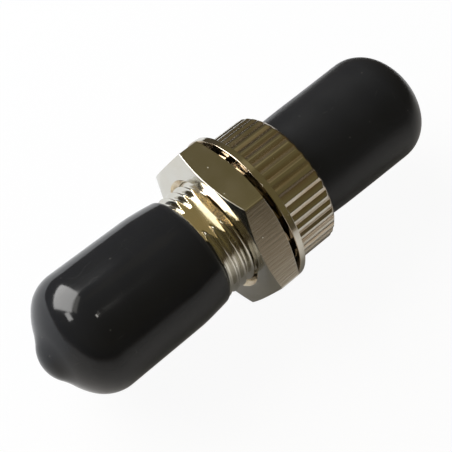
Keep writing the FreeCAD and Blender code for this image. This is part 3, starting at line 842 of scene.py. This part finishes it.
def new_material(name):
    """Material with one surface shader, the place on the piece in millimetres, and its stored tint share of
    grime, wear and painted shade.
    """
    material = bpy.data.materials.new(name)
    material.use_nodes = True
    tree = material.node_tree
    shader = tree.nodes["Principled BSDF"]
    metres = add_node(tree, "TexCoord").outputs["Object"]
    place = add_node(tree, "VectorMath", {0: metres, "Scale": 1 / MM}, operation="SCALE").outputs[0]
    grime_wear_and_shade = add_node(tree, "Attribute", attribute_name="grime_wear_and_shade").outputs["Fac"]
    return material, tree, shader, place, grime_wear_and_shade


def finish_skin(tree, shader, tone, dull, bump_height, bump_depth):
    """Links a shader's colour, roughness and bump."""
    bump = add_node(tree, "Bump", {"Strength": 1.0, "Distance": bump_depth, "Height": bump_height})
    set_inputs(tree, shader, {"Base Color": tone, "Roughness": dull, "Normal": bump.outputs[0]})


METAL_MOTTLE = {"Fineness": 0.45}
METAL_SPECKS = {"Fineness": 2.6, "Share": 0.05}
METAL_SPECK_DULLING = 0.2
METAL_SPECK_HEIGHT = 1.5
METAL_ROUGHNESS_SPREAD = 0.06
# Size of the normal's X between which streaks give way to rings
METAL_RING_RANGE = (0.6, 0.9)
METAL_WORN_PATCHES = 0.55
METAL_MARK_RANGE, METAL_WORN_MARKS = (0.35, 0.75), 0.25
# Shares for the stored tint: wear and dirt, and painted shade on the lip's front face and the washer's ring
METAL_LEAST_TINT = 0.55
METAL_TINT_RANGE, METAL_TINT_COVER = (0.1, 1.0), 0.8


def plated_metal(name, bright, worn, grime_wear_and_shade, roughness, dulling, mark_depth, mark_fineness):
    """Plated metal: warm patches, turning rings on faces across the axis, streaks on the rest.

    Where the piece stores a tint share, for grime and wear and on some pieces painted shade, the tone
    shifts to the tint's own colour and gets duller. Sparse specks stand a little out of the plating.
    """
    material, tree, shader, place, held = new_material(name)
    mottle = use_group(tree, MOTTLE, {"Place": place, **METAL_MOTTLE})
    streaks = use_group(tree, STREAKS, {"Place": place, "Fineness": mark_fineness})
    rings = use_group(tree, RINGS, {"Place": place, "Fineness": mark_fineness})
    specks = use_group(tree, SPECKS, {"Place": place, **METAL_SPECKS})
    normal = add_node(tree, "TexCoord").outputs["Normal"]
    across = math_of(tree, "ABSOLUTE", add_node(tree, "SeparateXYZ", {0: normal}).outputs[0])
    facing = ramp_of(tree, across, *METAL_RING_RANGE)
    gap = math_of(tree, "SUBTRACT", rings, streaks)
    marks = math_of(tree, "MULTIPLY_ADD", gap, facing, streaks)
    wear_dirt_and_shade = math_of(tree, "MULTIPLY", held, ramp_of(tree, mottle, 0, 1, start=METAL_LEAST_TINT))

    patches = ramp_of(tree, mottle, 0, 1, end=METAL_WORN_PATCHES)
    scuffs = ramp_of(tree, marks, *METAL_MARK_RANGE, end=METAL_WORN_MARKS)
    cover = ramp_of(tree, wear_dirt_and_shade, *METAL_TINT_RANGE, end=METAL_TINT_COVER)
    tone = blend_of(tree, patches, bright, worn)
    tone = blend_of(tree, scuffs, tone, worn)
    tone = blend_of(tree, cover, tone, grime_wear_and_shade)
    plain = ramp_of(tree, mottle, 0, 1, roughness, roughness + METAL_ROUGHNESS_SPREAD)
    dull = math_of(tree, "MULTIPLY_ADD", wear_dirt_and_shade, dulling, plain)
    dull = math_of(tree, "MULTIPLY_ADD", specks, METAL_SPECK_DULLING, dull)
    height = math_of(tree, "MULTIPLY_ADD", specks, METAL_SPECK_HEIGHT, marks)
    finish_skin(tree, shader, tone, dull, height, mark_depth)
    shader.inputs["Metallic"].default_value = 1.0
    return material


VINYL_BLACK = (0.0090, 0.0097, 0.0116, 1)
VINYL_PALER = (0.0098, 0.0105, 0.0124, 1)
VINYL_DUST = (0.075, 0.073, 0.07, 1)
VINYL_MOTTLE_SCALE = 0.4
VINYL_WAVE_SCALE = 0.9
VINYL_HAIRLINES = {"Fineness": 0.22, "Width": 0.0006}
VINYL_SPECKS = {"Fineness": 2.2, "Share": 0.035}
VINYL_LINE_SHARE, VINYL_SPECK_SHARE, VINYL_RIM_SHARE = 0.5, 0.4, 0.3
VINYL_MARK_DULLING = 0.25
VINYL_ROUGHNESS_SPREAD = 0.05


def dipped_vinyl(name, roughness, bending, ripple):
    """Black dipped vinyl: glossy skin with a faint ripple, a few hairlines, dust and a dull rim.

    bending is how strongly the skin bends light, which sets how much it mirrors.
    """
    material, tree, shader, place, held = new_material(name)
    mottle = ramp_of(tree, noise_of(tree, place, VINYL_MOTTLE_SCALE, detail=0.0), *PATCH_RANGE)
    lines = use_group(tree, HAIRLINES, {"Place": place, **VINYL_HAIRLINES})
    specks = use_group(tree, SPECKS, {"Place": place, **VINYL_SPECKS})
    lines = math_of(tree, "MULTIPLY", lines, VINYL_LINE_SHARE)
    specks = math_of(tree, "MULTIPLY", specks, VINYL_SPECK_SHARE)
    marks = math_of(tree, "MAXIMUM", lines, specks)
    marks = math_of(tree, "MAXIMUM", marks, math_of(tree, "MULTIPLY", held, VINYL_RIM_SHARE))
    black = blend_of(tree, mottle, VINYL_BLACK, VINYL_PALER)
    tone = blend_of(tree, marks, black, VINYL_DUST)
    plain = ramp_of(tree, mottle, 0, 1, roughness, roughness + VINYL_ROUGHNESS_SPREAD)
    dull = math_of(tree, "MULTIPLY_ADD", marks, VINYL_MARK_DULLING, plain)
    waves = noise_of(tree, place, VINYL_WAVE_SCALE, detail=1.0)
    finish_skin(tree, shader, tone, dull, waves, ripple)
    shader.inputs["IOR"].default_value = bending
    return material


NICKEL_BRIGHT = (0.69, 0.68, 0.63, 1)
NICKEL_WORN = (0.66, 0.62, 0.53, 1)
# Dark brown tint: painted shade on the lip's front face, darker brown in the knurl's grooves and at the
# lugs' feet
DARK_BROWN_TINT = (0.42, 0.30, 0.18, 1)
THIN_PLATING = (0.78, 0.66, 0.41, 1)
OLD_BORE = (0.72, 0.55, 0.31, 1)
STEEL_BRIGHT = (0.48, 0.41, 0.31, 1)
STEEL_WORN = (0.36, 0.29, 0.20, 1)
# Grime and painted shade of the washer's ring in the gap between nut and lip
STEEL_GRIME_AND_SHADE = (0.05, 0.04, 0.03, 1)
BRONZE_BRIGHT = (0.70, 0.47, 0.28, 1)
BRONZE_WORN = (0.58, 0.37, 0.21, 1)
BRONZE_DARK = (0.26, 0.15, 0.08, 1)

shank_plate = plated_metal(
    "shank_nickel", NICKEL_BRIGHT, NICKEL_WORN, THIN_PLATING,
    roughness=0.09, dulling=0.0, mark_depth=0.002 * MM, mark_fineness=5.0,
)
flange_plate = plated_metal(
    "flange_nickel", NICKEL_BRIGHT, NICKEL_WORN, DARK_BROWN_TINT,
    roughness=0.10, dulling=0.08, mark_depth=0.0015 * MM, mark_fineness=5.0,
)
nut_plate = plated_metal(
    "nut_nickel", NICKEL_BRIGHT, NICKEL_WORN, OLD_BORE,
    roughness=0.10, dulling=0.12, mark_depth=0.003 * MM, mark_fineness=6.0,
)
lug_plate = plated_metal(
    "lug_nickel", NICKEL_BRIGHT, NICKEL_WORN, DARK_BROWN_TINT,
    roughness=0.16, dulling=0.18, mark_depth=0.003 * MM, mark_fineness=7.0,
)
washer_plate = plated_metal(
    "spring_washer_steel", STEEL_BRIGHT, STEEL_WORN, STEEL_GRIME_AND_SHADE,
    roughness=0.14, dulling=0.1, mark_depth=0.003 * MM, mark_fineness=6.0,
)
sleeve_metal = plated_metal(
    "sleeve_phosphor_bronze", BRONZE_BRIGHT, BRONZE_WORN, BRONZE_DARK,
    roughness=0.28, dulling=0.18, mark_depth=0.003 * MM, mark_fineness=7.0,
)
front_vinyl = dipped_vinyl("front_cap_vinyl", roughness=0.10, bending=1.36, ripple=0.006 * MM)
rear_vinyl = dipped_vinyl("rear_cap_vinyl", roughness=0.29, bending=1.33, ripple=0.008 * MM)

threaded_shank(shank_plate)
knurled_flange(flange_plate)
hexagon_nut(nut_plate)
toothed_washer(washer_plate)
split_sleeve(sleeve_metal)
for half in ("front", "rear"):
    for hand in ("left", "right"):
        bayonet_lug(f"{half}_lug_{hand}", f"{half}_{hand}_lug", lug_plate)
dust_cap(
    "front_dipped_cap", "front_dust_cap", "front_cap", front_vinyl,
    rim=front_cap_high.x, tip=front_cap_low.x, wall=FRONT_CAP_WALL, knuckle=FRONT_CAP_KNUCKLE,
    rim_draw=FRONT_RIM_DRAW, drip=True, seed=0.7,
)
dust_cap(
    "rear_dipped_cap", "rear_dust_cap", "rear_cap", rear_vinyl,
    rim=rear_cap_low.x, tip=rear_cap_high.x, wall=REAR_CAP_WALL, knuckle=REAR_CAP_KNUCKLE,
    rim_draw=REAR_RIM_DRAW, drip=False, seed=2.9,
)


# Table, light and camera

TABLE_HEIGHT = min(flange_low.z, nut_low.z)
TABLE_HALF = 0.75
TABLE_FAR_EDGE = 31 * MM
HEADING = Vector((0.67357, 0.73913, 0.0))
ACROSS = Vector((0.73913, -0.67357, 0.0))
LAMP_DISTANCE = 0.3
WINDOW_RADIANCE = 10.5
DAYLIGHT = (1.0, 0.99, 0.97)
WARM_LIGHT = (1.0, 0.97, 0.9)
AMBER_LIGHT = (1.0, 0.85, 0.5)
COOL_LIGHT = (0.93, 0.97, 1.0)
ROOM_HORIZON = (0.37, 0.295, 0.215, 1)
ROOM_WALL = (0.070, 0.056, 0.036, 1)
ROOM_CEILING = (0.125, 0.101, 0.044, 1)
ROOM_GLOW_TOP = 0.05
ROOM_WALL_TOP = 0.45
ROOM_GLOW_SIDE = 0.2
WHITE = (1, 1, 1, 1)
TABLE_FAR_TONE = (0.57, 0.59, 0.63, 1)
# Warmer tone of the table's near side: painted warm bounce light
TABLE_NEAR_TONE = (0.58, 0.568, 0.563, 1)
TABLE_TONE_CHANGE = 5 * MM
TABLE_WHITE_SEEN = 0.94
TABLE_WHITE_MIRRORED = 0.05

CAMERA_LENS = 100.35
CAMERA_SENSOR = 36.0
CAMERA_CLIP_START, CAMERA_CLIP_END = 0.002, 10.0
CAMERA_FORWARD = Vector((0.34579, 0.37945, -0.85817))
CAMERA_DOWN = Vector((-0.57803, -0.63429, -0.51337))
CAMERA_DISTANCE = 102.54 * MM
CAMERA_AIM = Vector((-1.79 * MM, 0, 0))
CAMERA_AIM_RIGHT = -0.0863 * MM
CAMERA_AIM_DOWN = -0.11 * MM


def table_top():
    """White sheet under the lip, lit as a plain pale surface.

    To the camera it is mostly plain white, and in gloss a little so. It lies square to the camera's
    heading and ends just behind the coupler. On the side away from the window, at negative Y, it is a
    little warmer: painted warm bounce light, seen mostly in the metal's reflections.
    """
    level = Vector((0, 0, TABLE_HEIGHT))
    near, far = -HEADING * TABLE_HALF, HEADING * TABLE_FAR_EDGE
    left, right = -ACROSS * TABLE_HALF, ACROSS * TABLE_HALF
    mesh = bpy.data.meshes.new("table_top")
    spots = [near + left + level, near + right + level, far + right + level, far + left + level]
    mesh.from_pydata(spots, [], [(0, 1, 2, 3)])
    material = bpy.data.materials.new("white_table")
    material.use_nodes = True
    tree = material.node_tree
    tree.nodes.clear()
    rays = add_node(tree, "LightPath")
    share = math_of(tree, "MULTIPLY", rays.outputs["Is Glossy Ray"], TABLE_WHITE_MIRRORED)
    share = math_of(tree, "MULTIPLY_ADD", rays.outputs["Is Camera Ray"], TABLE_WHITE_SEEN, share)
    place = add_node(tree, "TexCoord").outputs["Object"]
    beside = add_node(tree, "SeparateXYZ", {0: place}).outputs[1]
    # Painted warm bounce light: towards negative Y the table takes the warmer tone
    far_side = ramp_of(tree, beside, -TABLE_TONE_CHANGE, TABLE_TONE_CHANGE)
    tone = blend_of(tree, far_side, TABLE_NEAR_TONE, TABLE_FAR_TONE)
    lit = add_node(tree, "BsdfDiffuse", {"Color": tone})
    white = add_node(tree, "Emission", {"Color": WHITE, "Strength": 1.0})
    mixed = add_node(tree, "MixShader", {0: share, 1: lit.outputs[0], 2: white.outputs[0]})
    out = tree.nodes.new("ShaderNodeOutputMaterial")
    tree.links.new(mixed.outputs[0], out.inputs["Surface"])
    mesh.materials.append(material)
    table = bpy.data.objects.new("table_top", mesh)
    bpy.context.collection.objects.link(table)


def soft_lamp(name, azimuth, elevation, width, tall, radiance, colour, mirrored=True):
    """Flat lamp that faces the coupler from two angles. Its power is radiance times pi times area.

    One that is not mirrored only fills shadows, and glossy surfaces don't show it.
    """
    around, up = math.radians(azimuth), math.radians(elevation)
    direction = Vector((math.cos(up) * math.cos(around), math.cos(up) * math.sin(around), math.sin(up)))
    lamp = bpy.data.lights.new(name, "AREA")
    lamp.shape = "RECTANGLE"
    lamp.size = width
    lamp.size_y = tall
    lamp.energy = radiance * math.pi * width * tall
    lamp.color = colour
    holder = bpy.data.objects.new(name, lamp)
    holder.location = direction * LAMP_DISTANCE
    holder.rotation_euler = direction.to_track_quat("Z", "Y").to_euler()
    holder.visible_camera = False
    holder.visible_glossy = mirrored
    bpy.context.collection.objects.link(holder)


def dim_room():
    """Dim warm room: a glow along the near horizon, dark elsewhere, white to the camera."""
    world = bpy.data.worlds.new("dim_room")
    world.use_nodes = True
    tree = world.node_tree
    tree.nodes.clear()
    looking = add_node(tree, "TexCoord").outputs["Generated"]
    up = add_node(tree, "SeparateXYZ", {0: looking}).outputs[2]
    ahead = add_node(tree, "VectorMath", {0: looking, 1: HEADING}, operation="DOT_PRODUCT").outputs["Value"]
    low = ramp_of(tree, up, ROOM_GLOW_TOP, 0.0)
    glow = math_of(tree, "MULTIPLY", low, ramp_of(tree, ahead, ROOM_GLOW_SIDE, -ROOM_GLOW_SIDE))
    tone = blend_of(tree, ramp_of(tree, up, ROOM_GLOW_TOP, ROOM_WALL_TOP), ROOM_WALL, ROOM_CEILING)
    tone = blend_of(tree, glow, tone, ROOM_HORIZON)
    seen = add_node(tree, "LightPath").outputs["Is Camera Ray"]
    tone = blend_of(tree, seen, tone, WHITE)
    back = add_node(tree, "Background", {"Color": tone, "Strength": 1.0})
    out = tree.nodes.new("ShaderNodeOutputWorld")
    tree.links.new(back.outputs[0], out.inputs["Surface"])
    bpy.context.scene.world = world


def photo_camera():
    """Camera at the picture's own viewing point, without roll."""
    lens = bpy.data.cameras.new("photo_camera")
    lens.sensor_width = CAMERA_SENSOR
    lens.lens = CAMERA_LENS
    lens.clip_start = CAMERA_CLIP_START
    lens.clip_end = CAMERA_CLIP_END
    camera = bpy.data.objects.new("photo_camera", lens)
    turn = Matrix((ACROSS, -CAMERA_DOWN, -CAMERA_FORWARD)).transposed().to_4x4()
    place = CAMERA_AIM - CAMERA_FORWARD * CAMERA_DISTANCE
    place = place - ACROSS * CAMERA_AIM_RIGHT - CAMERA_DOWN * CAMERA_AIM_DOWN
    camera.matrix_world = Matrix.Translation(place) @ turn
    bpy.context.collection.objects.link(camera)
    bpy.context.scene.camera = camera


table_top()
soft_lamp("window_light", azimuth=112, elevation=37, width=0.27, tall=0.225,
          radiance=WINDOW_RADIANCE, colour=DAYLIGHT)
soft_lamp("window_side_pane", azimuth=156, elevation=40, width=0.07, tall=0.06,
          radiance=WINDOW_RADIANCE, colour=DAYLIGHT)
soft_lamp("window_blind", azimuth=115, elevation=62, width=0.2, tall=0.05,
          radiance=2.2, colour=WARM_LIGHT)
soft_lamp("ceiling_panel", azimuth=44, elevation=62, width=0.09, tall=0.09,
          radiance=0.12, colour=AMBER_LIGHT)
soft_lamp("ceiling_lamp", azimuth=-64, elevation=75.2, width=0.02, tall=0.02,
          radiance=18.0, colour=WARM_LIGHT)
soft_lamp("fill_card", azimuth=-62, elevation=10, width=0.3, tall=0.2,
          radiance=1.8, colour=COOL_LIGHT, mirrored=False)
dim_room()
photo_camera()
bpy.context.scene.view_settings.view_transform = "Standard"
